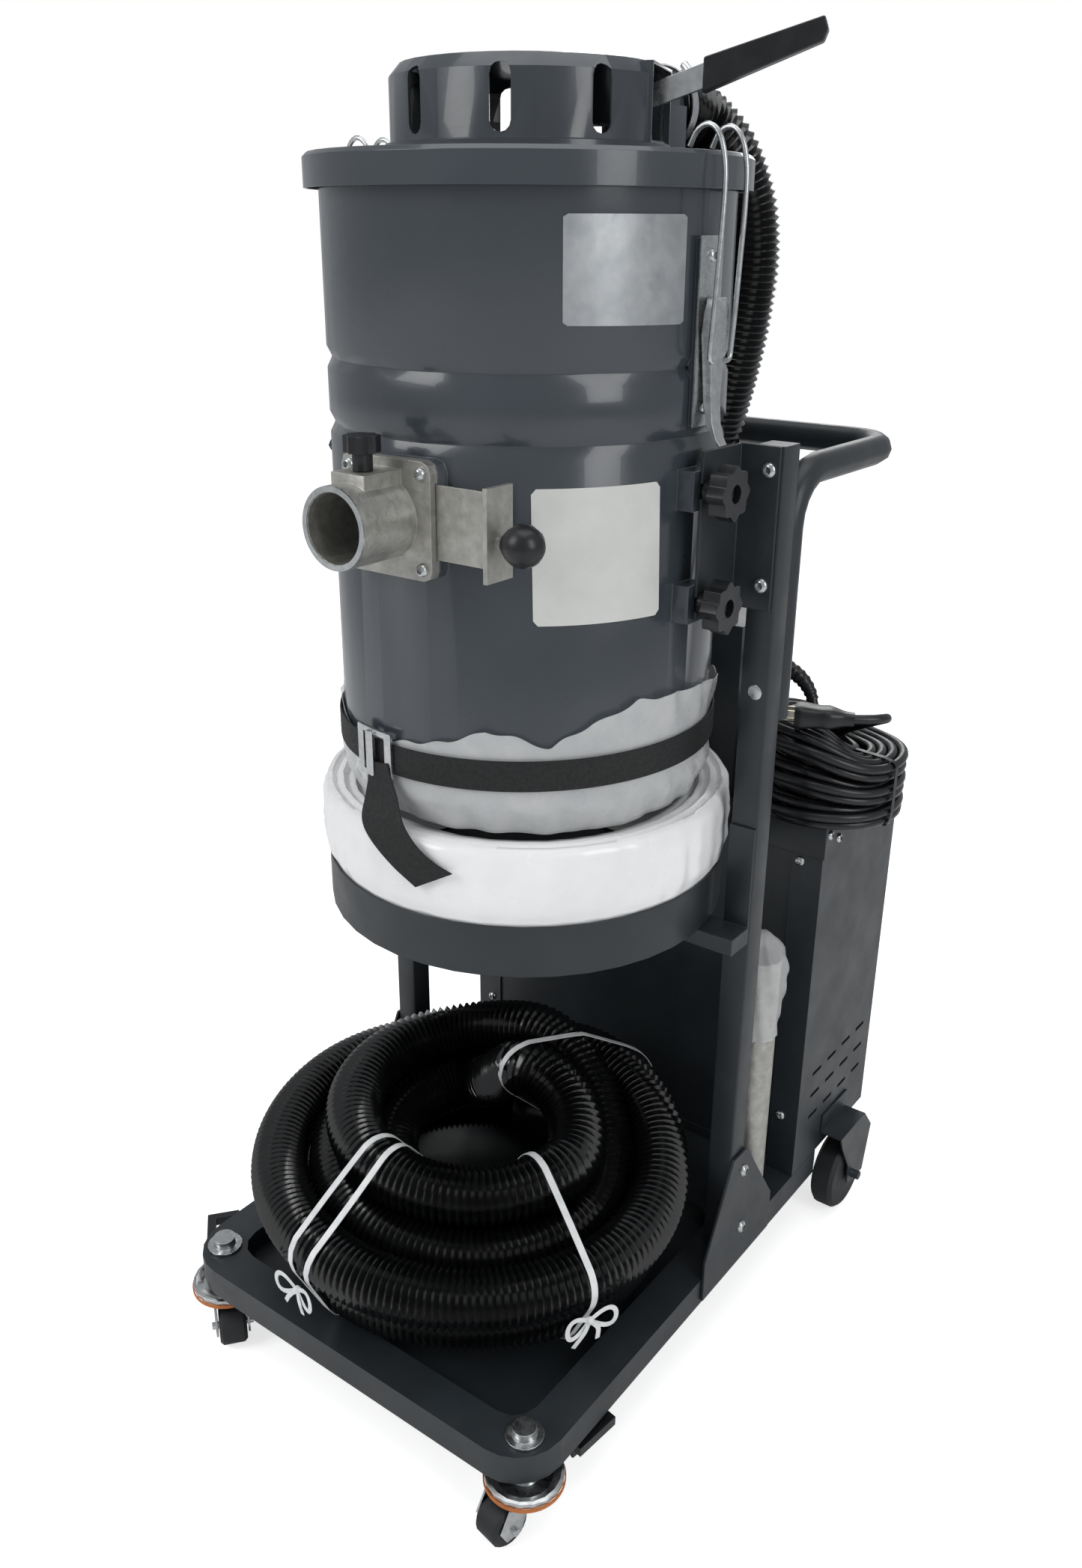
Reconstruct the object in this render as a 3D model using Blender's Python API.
"""Dust collector: a wheeled industrial dust extractor with a hanging filter tank and an endless bag.

Metres, +Z up, front at -Y. The origin lies on the floor, under the middle of the deck.
Run with: blender --background --python part.py
"""

import math

import bmesh
import bpy
from mathutils import Matrix, Vector

GAP = 0.0003            # between faces that touch
SHEET = 0.002           # pressed and folded steel sheet

# Deck: a pressed tray with a flat rim
DECK_LENGTH = 0.630
DECK_WIDTH = 0.420
DECK_BOTTOM = 0.063
DECK_TOP = 0.0925
DECK_CORNER = 0.045
RIM_WIDTH = 0.036
TRAY_FLOOR = 0.0705
TRAY_BACK = 0.045       # the recess ends here, behind the posts
DECK_FRONT = -DECK_LENGTH / 2
DECK_BACK = DECK_LENGTH / 2

# Posts, gussets and the push handle
POST_SIZE = 0.025
POST_TOP = 0.860
POST_FRONT = 0.0
POST_X = DECK_WIDTH / 2 - POST_SIZE / 2
POST_BACK = POST_FRONT + POST_SIZE
GUSSET_TOP = 0.204
GUSSET_SPREAD = 0.131
GUSSET_SHEET = 0.003
HANDLE_RADIUS = 0.0125
HANDLE_FOOT = 0.633
HANDLE_HEIGHT = 0.8335
HANDLE_REACH = 0.196
HANDLE_BEND = 0.042

# Tank, lid and what is inside them
TANK_Y = -0.043
TANK_RADIUS = 0.158
TANK_WALL = 0.002
TANK_BOTTOM = 0.600
TANK_TOP = 1.047
BEAD_HEIGHTS = (0.917, 0.868)
BEAD_DEPTH = 0.004
FILTER_RADIUS = 0.115
FILTER_DEPTH = 0.345
FLANGE_SHEET = 0.0024
GASKET_THICK = 0.0075
LID_RADIUS = 0.169
LID_SKIRT = 0.024
VALVE_RADIUS = 0.045
COVER_RADIUS = 0.1035
COVER_HEIGHT = 0.060
COVER_SLOTS = 9
SLOT_WIDTH = 0.015
DUCT_ANGLE = math.radians(21)
DUCT_REACH = 0.100
DUCT_HALF = 0.035
LEVER_SLOPE = 0.33
LEVER_PIVOT = 0.060
LEVER_PIVOT_Z = 1.0868
LEVER_TIP = 0.213
NECK_X = 0.021
NECK_Z = 1.100
HOSE_RADIUS = 0.031

# Suction port with its slide gate
PORT_Z = 0.815
PORT_BORE = 0.0255
PORT_OUTER = 0.030
PORT_FLANGE = 0.043
PORT_REACH = 0.064
GATE_SHEET = 0.0025
GATE_HALF = 0.027
GATE_END = 0.100
GATE_TRAVEL = 0.055

# Height brackets and their clamping knobs
BRACKET_BOTTOM = 0.733
BRACKET_SHEET = 0.003
BRACKET_X = 0.174
KNOB_HEIGHTS = (0.831, 0.745)
KNOB_Y = -0.052
KNOB_RADIUS = 0.021
STEM_RADIUS = 0.004

# Bag pack, its pan and the strap
PAN_RADIUS = 0.178
PAN_BOTTOM = 0.452
PAN_HEIGHT = 0.046
PACK_RADIUS = 0.1825
PACK_TOP = 0.566
STRAP_BOTTOM = 0.612
STRAP_WIDTH = 0.025
STRAP_THICK = 0.0015

# Motor box, motor head and their contents
BOX_FRONT = 0.142
BOX_TOP = 0.495
BOX_FLANGE = 0.031
HEAD_FRONT = 0.150
HEAD_BACK = 0.235
HEAD_HALF = 0.105
HEAD_TOP = 0.668
MOTOR_RADIUS = 0.060
IMPELLER_RADIUS = 0.055

# Wheels
CASTER_X = 0.1835
CASTER_Y = -0.285
CASTER_WHEEL = 0.0195
CASTER_WIDTH = 0.026
CASTER_TRAIL = 0.026
CASTER_ANGLES = {"right": math.radians(-100), "left": math.radians(-38)}
REAR_WHEEL = 0.0435
REAR_WIDTH = 0.025
REAR_AXLE_Y = 0.245
REAR_WHEEL_X = 0.218

# Power cable and stowed accessories
CABLE_RADIUS = 0.0045
HANK_CENTRE = (0.188, 0.190)
HANK_OUTER = 0.078
HANK_INNER = 0.028
HANK_HEIGHT = 0.080
COIL_CENTRE = (-0.010, -0.112)
COIL_OUTER = 0.196
COIL_INNER = 0.072
COIL_HEIGHT = 0.196
WAND_RADIUS = 0.019
WAND_LENGTH = 0.290

SIDES = {"right": 1, "left": -1}
FRAME_SHIFT = (0.01107, 0.00827)        # puts the origin under the middle of the whole machine

# Shells whose joined walls share planes or an axis: the EXACT solver leaves these open.
THIN_SHELLS = {"inlet_port", "lid", "motor_head", "purge_cover", "rear_bracket_left", "rear_bracket_right",
               "pan_saddle", "inlet_knob"}


def clear_scene():
    for item in list(bpy.data.objects):
        bpy.data.objects.remove(item, do_unlink=True)


def material(name, colour, roughness, metallic):
    """A plain Principled surface, made once and shared by its name."""
    if name in bpy.data.materials:
        return bpy.data.materials[name]
    made = bpy.data.materials.new(name)
    made.use_nodes = True
    shader = made.node_tree.nodes["Principled BSDF"]
    shader.inputs["Base Color"].default_value = (*colour, 1.0)
    shader.inputs["Roughness"].default_value = roughness
    shader.inputs["Metallic"].default_value = metallic
    return made


def gloss_paint():
    return material("gloss_slate_enamel", (0.056, 0.066, 0.076), 0.28, 0.0)


def texture_paint():
    return material("satin_graphite_powder_coat", (0.026, 0.032, 0.038), 0.5, 0.0)


def zinc():
    return material("zinc_plated_steel", (0.62, 0.63, 0.64), 0.35, 1.0)


def casting():
    return material("cast_aluminium", (0.50, 0.50, 0.49), 0.48, 1.0)


def black_plastic():
    return material("black_plastic", (0.012, 0.012, 0.013), 0.35, 0.0)


def black_rubber():
    return material("black_rubber", (0.015, 0.015, 0.015), 0.7, 0.0)


def hose_plastic():
    return material("black_hose_plastic", (0.010, 0.010, 0.011), 0.3, 0.0)


def webbing():
    return material("black_webbing", (0.012, 0.012, 0.013), 0.85, 0.0)


def white_film():
    return material("white_bag_film", (0.80, 0.80, 0.80), 0.45, 0.0)


def filter_fabric():
    return material("coated_filter_fabric", (0.75, 0.75, 0.72), 0.9, 0.0)


def add_box(mesh, low, high):
    """An axis-aligned block between two corners."""
    size = [high[i] - low[i] for i in range(3)]
    centre = [(high[i] + low[i]) / 2 for i in range(3)]
    place = Matrix.Translation(centre) @ Matrix.Diagonal((*size, 1.0))
    bmesh.ops.create_cube(mesh, size=1.0, matrix=place)


def add_turned(mesh, profile, segments=32, frame=None):
    """A body of revolution about local Z from a closed outline of (radius, height) points."""
    rings = []
    for radius, height in profile:
        if radius < 1e-7:
            rings.append([mesh.verts.new((0.0, 0.0, height))])
            continue
        ring = []
        for step in range(segments):
            turn = 2 * math.pi * step / segments
            ring.append(mesh.verts.new((radius * math.cos(turn), radius * math.sin(turn), height)))
        rings.append(ring)
    for lower, upper in zip(rings, rings[1:] + rings[:1]):
        if len(lower) == 1 and len(upper) == 1:
            continue
        for step in range(segments):
            after = (step + 1) % segments
            corners = [lower[step % len(lower)], lower[after % len(lower)],
                       upper[after % len(upper)], upper[step % len(upper)]]
            face = list(dict.fromkeys(corners))
            mesh.faces.new(face)
    if frame is not None:
        bmesh.ops.transform(mesh, matrix=frame, verts=[v for ring in rings for v in ring])


def add_cylinder(mesh, radius, start, end, segments=16):
    """A solid round bar from one point to another."""
    start, end = Vector(start), Vector(end)
    length = (end - start).length
    turn = (end - start).to_track_quat("Z", "Y").to_matrix().to_4x4()
    frame = Matrix.Translation(start) @ turn
    add_turned(mesh, [(0.0, 0.0), (radius, 0.0), (radius, length), (0.0, length)], segments, frame)


def add_prism(mesh, outline, low, high, frame=None):
    """A flat outline in local XY, raised from low to high along local Z."""
    bottom = [mesh.verts.new((x, y, low)) for x, y in outline]
    top = [mesh.verts.new((x, y, high)) for x, y in outline]
    count = len(outline)
    mesh.faces.new(bottom[::-1])
    mesh.faces.new(top)
    for step in range(count):
        after = (step + 1) % count
        mesh.faces.new([bottom[step], bottom[after], top[after], top[step]])
    if frame is not None:
        bmesh.ops.transform(mesh, matrix=frame, verts=bottom + top)


def rounded_outline(low, high, radius, steps=4):
    """A rectangle's outline with round corners, anticlockwise."""
    points = []
    corners = [(high[0], high[1], 0), (low[0], high[1], 1), (low[0], low[1], 2), (high[0], low[1], 3)]
    for x, y, quarter in corners:
        inward_x = -1 if x == high[0] else 1
        inward_y = -1 if y == high[1] else 1
        for step in range(steps + 1):
            turn = math.pi / 2 * (quarter + step / steps)
            points.append((x + inward_x * radius + radius * math.cos(turn),
                           y + inward_y * radius + radius * math.sin(turn)))
    return points


def along_x(origin=(0.0, 0.0, 0.0)):
    """A frame whose local X, Y and Z run along the world's Y, Z and X."""
    return Matrix.Translation(origin) @ Matrix(((0, 0, 1, 0), (1, 0, 0, 0), (0, 1, 0, 0), (0, 0, 0, 1)))


def along_y(origin=(0.0, 0.0, 0.0)):
    """A frame whose local X, Y and Z run along the world's Z, X and Y."""
    return Matrix.Translation(origin) @ Matrix(((0, 1, 0, 0), (0, 0, 1, 0), (1, 0, 0, 0), (0, 0, 0, 1)))


def upright(origin, angle=0.0):
    """A frame with Z up, at a place, turned by an angle about Z."""
    return Matrix.Translation(origin) @ Matrix.Rotation(angle, 4, "Z")


def finish(name, mesh, surface, origin=(0.0, 0.0, 0.0), parent=None, sharp=35):
    """Makes the object of a filled mesh, with its origin where its joint turns."""
    bmesh.ops.recalc_face_normals(mesh, faces=mesh.faces[:])
    bmesh.ops.translate(mesh, vec=[-v for v in origin], verts=mesh.verts[:])
    data = bpy.data.meshes.new(name)
    mesh.to_mesh(data)
    mesh.free()
    data.materials.append(surface)
    data.shade_smooth()
    data.set_sharp_from_angle(angle=math.radians(sharp))
    made = bpy.data.objects.new(name, data)
    made.location = origin
    bpy.context.scene.collection.objects.link(made)
    if parent is not None:
        made.parent = parent
    return made


def tool(name, mesh):
    """A helper solid that only cuts or joins, and isn't a piece of the machine."""
    made = finish(name, mesh, black_plastic())
    made.hide_render = True
    made.display_type = "WIRE"
    return made


def combine(target, helper, operation):
    step = target.modifiers.new(f"{operation.lower()}_{helper.name}", "BOOLEAN")
    step.operation = operation
    step.object = helper
    step.solver = "MANIFOLD" if target.name in THIN_SHELLS else "EXACT"
    return target


def cut(target, helper):
    return combine(target, helper, "DIFFERENCE")


def join(target, helper):
    return combine(target, helper, "UNION")


def tube_along(name, points, radius, surface, sides=2):
    """A round cord or tube along a smooth route: a curve object with filled caps."""
    curve = bpy.data.curves.new(name, "CURVE")
    curve.dimensions = "3D"
    curve.bevel_depth = radius
    curve.bevel_resolution = sides
    curve.use_fill_caps = True
    spline = curve.splines.new("POLY")
    spline.points.add(len(points) - 1)
    for slot, place in zip(spline.points, points):
        slot.co = (*place, 1.0)
    curve.materials.append(surface)
    made = bpy.data.objects.new(name, curve)
    bpy.context.scene.collection.objects.link(made)
    return made


def smooth_route(places, spacing):
    """Points about a spacing apart on the Catmull-Rom curve through the places."""
    places = [Vector(place) for place in places]
    ends = [2 * places[0] - places[1]] + places + [2 * places[-1] - places[-2]]
    fine = []
    for a, b, c, d in zip(ends, ends[1:], ends[2:], ends[3:]):
        for step in range(16):
            t = step / 16
            fine.append(0.5 * (2 * b + (c - a) * t + (2 * a - 5 * b + 4 * c - d) * t * t
                               + (3 * b - a - 3 * c + d) * t ** 3))
    fine.append(places[-1])
    lengths = [0.0]
    for a, b in zip(fine, fine[1:]):
        lengths.append(lengths[-1] + (b - a).length)
    count = max(2, round(lengths[-1] / spacing))
    route = []
    for index in range(count + 1):
        wanted = lengths[-1] * index / count
        at = 0
        while at < len(fine) - 2 and lengths[at + 1] < wanted:
            at += 1
        share = (wanted - lengths[at]) / (lengths[at + 1] - lengths[at])
        route.append(fine[at].lerp(fine[at + 1], share))
    return route


def lobed_outline(radius, lobes, depth, steps):
    """A star knob's outline: a circle whose radius swells and falls once for each lobe."""
    count = lobes * steps
    points = []
    for index in range(count):
        turn = 2 * math.pi * index / count
        swell = radius - depth * (0.5 - 0.5 * math.cos(lobes * turn))
        points.append((swell * math.cos(turn), swell * math.sin(turn)))
    return points


def build_deck():
    """The pressed tray: raised flat rim, sunk floor, open underneath, with its wheel notches."""
    half = DECK_WIDTH / 2
    outer = rounded_outline((-half, DECK_FRONT), (half, DECK_BACK), DECK_CORNER, 5)
    mesh = bmesh.new()
    add_prism(mesh, outer, DECK_BOTTOM, DECK_TOP)
    deck = finish("deck", mesh, texture_paint())

    inner = half - RIM_WIDTH
    front = DECK_FRONT + RIM_WIDTH
    mesh = bmesh.new()
    add_prism(mesh, rounded_outline((-inner, front), (inner, TRAY_BACK), 0.024, 3), TRAY_FLOOR, DECK_TOP + 0.01)
    cut(deck, tool("tray_recess", mesh))

    mesh = bmesh.new()
    inset = rounded_outline((-half + SHEET, DECK_FRONT + SHEET), (half - SHEET, DECK_BACK - SHEET),
                            DECK_CORNER - SHEET, 5)
    add_prism(mesh, inset, DECK_BOTTOM - 0.01, DECK_TOP - SHEET)
    channel = tool("rim_channel", mesh)
    mesh = bmesh.new()
    add_prism(mesh, rounded_outline((-inner - SHEET, front - SHEET), (inner + SHEET, TRAY_BACK + SHEET), 0.026, 3),
              TRAY_FLOOR - SHEET, DECK_TOP + 0.01)
    cut(channel, tool("tray_wall", mesh))
    cut(deck, channel)

    for side, sign in SIDES.items():
        mesh = bmesh.new()
        add_box(mesh, (sign * 0.214 - 0.0105, REAR_AXLE_Y - REAR_WHEEL - 0.0045, DECK_BOTTOM - 0.01),
                (sign * 0.214 + 0.0105, REAR_AXLE_Y + REAR_WHEEL + 0.0045, DECK_TOP + 0.01))
        cut(deck, tool(f"wheel_notch_{side}", mesh))
        mesh = bmesh.new()
        add_cylinder(mesh, 0.0066, (sign * CASTER_X, CASTER_Y, DECK_BOTTOM - 0.01),
                     (sign * CASTER_X, CASTER_Y, DECK_TOP + 0.01), 12)
        cut(deck, tool(f"caster_hole_{side}", mesh))
    return deck


def build_post(side, sign):
    """A square tube, closed at the top and open on the deck."""
    half = POST_SIZE / 2
    centre = (sign * POST_X, POST_FRONT + half, 0.0)
    mesh = bmesh.new()
    add_prism(mesh, rounded_outline((-half, -half), (half, half), 0.002, 2), DECK_TOP + GAP, POST_TOP, upright(centre))
    post = finish(f"post_{side}", mesh, texture_paint())
    mesh = bmesh.new()
    bore = half - SHEET
    add_box(mesh, (centre[0] - bore, centre[1] - bore, DECK_TOP - 0.01),
            (centre[0] + bore, centre[1] + bore, POST_TOP - SHEET))
    cut(post, tool(f"post_bore_{side}", mesh))


def build_gusset(side, sign):
    """A flat plate on the outer side that ties the post's foot to the deck."""
    spread = GUSSET_SPREAD / 2
    middle = POST_FRONT + POST_SIZE / 2 + 0.008
    shoulder = DECK_TOP + 0.020
    outline = [(middle - spread, DECK_BOTTOM + 0.005), (middle + spread, DECK_BOTTOM + 0.005),
               (middle + spread, shoulder), (POST_BACK, GUSSET_TOP), (POST_FRONT, GUSSET_TOP),
               (middle - spread, shoulder)]
    mesh = bmesh.new()
    low = sign * (DECK_WIDTH / 2 + GAP)
    high = sign * (DECK_WIDTH / 2 + GAP + GUSSET_SHEET)
    add_prism(mesh, outline, min(low, high), max(low, high), along_x())
    finish(f"gusset_{side}", mesh, texture_paint())


def build_bracket(side, sign, parent):
    """The folded plate on the post's front, with open slots for the tank's clamping knobs."""
    mesh = bmesh.new()
    back = POST_FRONT - GAP
    front_edge = KNOB_Y - 0.007
    outline = [(BRACKET_X - BRACKET_SHEET, front_edge), (BRACKET_X, front_edge),
               (BRACKET_X, back - BRACKET_SHEET), (POST_X + 0.010, back - BRACKET_SHEET),
               (POST_X + 0.010, back), (BRACKET_X - BRACKET_SHEET, back)]
    add_prism(mesh, [(sign * x, y) for x, y in outline], BRACKET_BOTTOM, POST_TOP)
    bracket = finish(f"bracket_{side}", mesh, texture_paint(), parent=parent)
    for index, height in enumerate(KNOB_HEIGHTS):
        mesh = bmesh.new()
        slot = rounded_outline((front_edge - 0.02, height - 0.0055), (KNOB_Y + 0.0055, height + 0.0055), 0.0054, 3)
        low, high = sorted((sign * (BRACKET_X - 0.006), sign * (BRACKET_X + 0.006)))
        add_prism(mesh, slot, low, high, along_x())
        cut(bracket, tool(f"bracket_slot_{side}_{index}", mesh))


def build_bracket_knob(side, sign, index, height, parent):
    """A star knob with a sleeve and a stem that reaches into the tank's ear."""
    mesh = bmesh.new()
    face = BRACKET_X + GAP
    sleeve = face + 0.0100
    flip = Matrix.Diagonal((sign, 1, 1, 1))
    star = lobed_outline(KNOB_RADIUS, 8, 0.004, 4)
    add_prism(mesh, star, sleeve, sleeve + 0.0145, flip @ along_x((0, KNOB_Y, height)))
    knob = finish(f"bracket_knob_{side}_{index + 1}", mesh, black_plastic(),
                  (sign * face, KNOB_Y, height), parent)
    mesh = bmesh.new()
    profile = [(0.0, TANK_RADIUS + 0.0010), (STEM_RADIUS, TANK_RADIUS + 0.0010), (STEM_RADIUS, face),
               (0.009, face), (0.009, sleeve + 0.003), (0.0, sleeve + 0.003)]
    add_turned(mesh, profile, 12, flip @ along_x((0, KNOB_Y, height)))
    join(knob, tool(f"knob_stem_{side}_{index}", mesh))
    mesh = bmesh.new()
    add_cylinder(mesh, 0.007, (sign * (sleeve + 0.008), KNOB_Y, height), (sign * (sleeve + 0.02), KNOB_Y, height), 12)
    cut(knob, tool(f"knob_hub_{side}_{index}", mesh))


def build_tank(parent):
    """The rolled tank with two pressed beads, its port pad and the ears the knobs clamp."""
    outer = [(TANK_RADIUS, TANK_BOTTOM)]
    for height in sorted(BEAD_HEIGHTS):
        outer += [(TANK_RADIUS, height - 0.008), (TANK_RADIUS - BEAD_DEPTH, height),
                  (TANK_RADIUS, height + 0.008)]
    outer.append((TANK_RADIUS, TANK_TOP))
    bore = TANK_RADIUS - BEAD_DEPTH - TANK_WALL
    mesh = bmesh.new()
    add_turned(mesh, outer + [(bore, TANK_TOP), (bore, TANK_BOTTOM)], 40, upright((0, TANK_Y, 0)))
    tank = finish("tank", mesh, gloss_paint(), parent=parent)

    pad_face = TANK_Y - TANK_RADIUS - 0.0035
    mesh = bmesh.new()
    half = PORT_FLANGE
    add_prism(mesh, rounded_outline((PORT_Z - half, -half), (PORT_Z + half, half), 0.008, 2),
              pad_face, TANK_Y - TANK_RADIUS + 0.014, along_y())
    join(tank, tool("port_pad", mesh))
    for side, sign in SIDES.items():
        for index, height in enumerate(KNOB_HEIGHTS):
            mesh = bmesh.new()
            low, high = sorted((sign * (TANK_RADIUS - 0.006), sign * (BRACKET_X - BRACKET_SHEET - GAP)))
            add_box(mesh, (low, KNOB_Y - 0.014, height - 0.015), (high, KNOB_Y + 0.010, height + 0.015))
            join(tank, tool(f"ear_{side}_{index}", mesh))
            mesh = bmesh.new()
            add_cylinder(mesh, STEM_RADIUS + 0.0006, (sign * (TANK_RADIUS + 0.0004), KNOB_Y, height),
                         (sign * (BRACKET_X + 0.01), KNOB_Y, height), 12)
            cut(tank, tool(f"ear_hole_{side}_{index}", mesh))
        mesh = bmesh.new()
        add_box(mesh, *latch_box(sign, -0.0040, 0.0032, -0.013, 0.013, -0.075, 0.052))
        join(tank, tool(f"latch_plate_{side}", mesh))
    mesh = bmesh.new()
    add_cylinder(mesh, PORT_BORE, (0, TANK_Y - TANK_RADIUS - 0.02, PORT_Z), (0, TANK_Y - 0.12, PORT_Z), 20)
    cut(tank, tool("port_hole", mesh))
    return tank


# The latches stand square on the tank's right and left, their wire bails hooked over the lid's catches.
LATCH_Y = TANK_Y
LATCH_Z = 0.952
LATCH_OUT = 0.0180


def latch_box(sign, inner, outer, front, back, bottom, top):
    """Corners of a block that stands on the tank's side, from distances out from its wall."""
    low, high = sorted((sign * (TANK_RADIUS + inner), sign * (TANK_RADIUS + outer)))
    return ((low, LATCH_Y + front, LATCH_Z + bottom), (high, LATCH_Y + back, LATCH_Z + top))


def build_latch(side, sign, parent):
    """The toggle lever with its pivot pin, and the wire bail that it pulls down."""
    inner = TANK_RADIUS + 0.0038
    outer = inner + 0.0090
    pivot = (sign * (inner + 0.0062), LATCH_Y, LATCH_Z + 0.010)
    mesh = bmesh.new()
    low, high = sorted((sign * inner, sign * outer))
    add_box(mesh, (low, LATCH_Y - 0.0085, LATCH_Z - 0.080), (high, LATCH_Y + 0.0085, pivot[2] + 0.002))
    lever = finish(f"latch_lever_{side}", mesh, zinc(), pivot, parent)
    mesh = bmesh.new()
    low, high = sorted((sign * (inner - 0.003), sign * (outer - 0.002)))
    add_box(mesh, (low, LATCH_Y - 0.0065, LATCH_Z - 0.072), (high, LATCH_Y + 0.0065, LATCH_Z - 0.004))
    cut(lever, tool(f"latch_channel_{side}", mesh))

    bar_x = outer + GAP + BAIL_WIRE
    bar_z = LATCH_Z - 0.030
    arm = 0.0130
    hook = [(bar_x, bar_z + 0.0045), (bar_x + 0.0022, LATCH_Z + 0.04), (LID_RADIUS + 0.0075, LID_PLATE - 0.016),
            (LID_RADIUS + 0.0066, LID_PLATE - 0.002), (LID_RADIUS + 0.0025, LID_PLATE + 0.0065),
            (LID_RADIUS - 0.0045, LID_PLATE + 0.0082), (LID_RADIUS - 0.0105, LID_PLATE + 0.0055),
            (LID_RADIUS - 0.0130, LID_PLATE + 0.0012 + GAP)]
    near = [(x, -arm, z) for x, z in hook[::-1]] + [(bar_x, -arm + 0.0012, bar_z + 0.0012)]
    bar = [(bar_x, -arm + 0.0045, bar_z), (bar_x, arm - 0.0045, bar_z)]
    route = near + bar + [(x, -y, z) for x, y, z in near[::-1]]
    origin = (sign * bar_x, LATCH_Y, bar_z)
    bail = tube_along(f"latch_bail_{side}", [Vector((sign * (x - bar_x), y, z - bar_z)) for x, y, z in route],
                      BAIL_WIRE, zinc(), 1)
    bail.location = origin
    bail.parent = parent


BAIL_WIRE = 0.0019


# The lid rests on the gasket, the gasket on the filter's flange and the flange on the tank's rim.
FLANGE_BASE = TANK_TOP + GAP
GASKET_BASE = FLANGE_BASE + FLANGE_SHEET + GAP
LID_SEAT = GASKET_BASE + GASKET_THICK + GAP - LID_SKIRT + SHEET
LID_PLATE = LID_SEAT + LID_SKIRT


def build_filter(parent):
    """The fabric drum, open at the top, hanging from the flange that the lid clamps."""
    wall = 0.003
    bottom = FLANGE_BASE - FILTER_DEPTH
    profile = [(0.0, bottom), (FILTER_RADIUS, bottom), (FILTER_RADIUS, FLANGE_BASE),
               (TANK_RADIUS - 0.001, FLANGE_BASE), (TANK_RADIUS - 0.001, FLANGE_BASE + FLANGE_SHEET),
               (FILTER_RADIUS - wall, FLANGE_BASE + FLANGE_SHEET), (FILTER_RADIUS - wall, bottom + wall),
               (0.0, bottom + wall)]
    mesh = bmesh.new()
    add_turned(mesh, profile, 28, upright((0, TANK_Y, 0)))
    finish("filter_drum", mesh, filter_fabric(), parent=parent)


def build_gasket(parent):
    outer = TANK_RADIUS - 0.001
    mesh = bmesh.new()
    add_turned(mesh, [(outer - 0.012, GASKET_BASE), (outer, GASKET_BASE), (outer, GASKET_BASE + GASKET_THICK),
                      (outer - 0.012, GASKET_BASE + GASKET_THICK)], 28, upright((0, TANK_Y, 0)))
    finish("lid_gasket", mesh, black_rubber(), parent=parent)


def build_lid(parent):
    """The flat lid with its down-turned skirt and the hose neck at the back."""
    under = LID_PLATE - SHEET
    profile = [(VALVE_RADIUS, under), (LID_RADIUS - SHEET, under), (LID_RADIUS - SHEET, LID_SEAT),
               (LID_RADIUS, LID_SEAT), (LID_RADIUS, LID_PLATE - 0.003), (LID_RADIUS - 0.003, LID_PLATE),
               (VALVE_RADIUS, LID_PLATE)]
    mesh = bmesh.new()
    add_turned(mesh, profile, 40, upright((0, TANK_Y, 0)))
    lid = finish("lid", mesh, gloss_paint(), parent=parent)
    mesh = bmesh.new()
    add_box(mesh, (NECK_X - 0.030, NECK_FOOT[0], LID_PLATE - 0.001), (NECK_X + 0.030, NECK_FOOT[1], NECK_Z))
    join(lid, tool("neck_foot", mesh))
    mesh = bmesh.new()
    add_cylinder(mesh, HOSE_RADIUS - 0.0050, (NECK_X, NECK_FOOT[0], NECK_Z), (NECK_X, NECK_END, NECK_Z), 20)
    join(lid, tool("neck_tube", mesh))
    mesh = bmesh.new()
    add_cylinder(mesh, HOSE_RADIUS - 0.0075, (NECK_X, NECK_FOOT[0] + 0.004, NECK_Z), (NECK_X, NECK_END + 0.01, NECK_Z), 20)
    cut(lid, tool("neck_bore", mesh))
    mesh = bmesh.new()
    add_cylinder(mesh, 0.011, (NECK_X, NECK_FOOT[0] + 0.0165, LID_PLATE - 0.02),
                 (NECK_X, NECK_FOOT[0] + 0.0165, NECK_Z), 12)
    cut(lid, tool("neck_inlet", mesh))
    return lid


NECK_FOOT = (0.0665, 0.0985)
NECK_END = 0.1085


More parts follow.
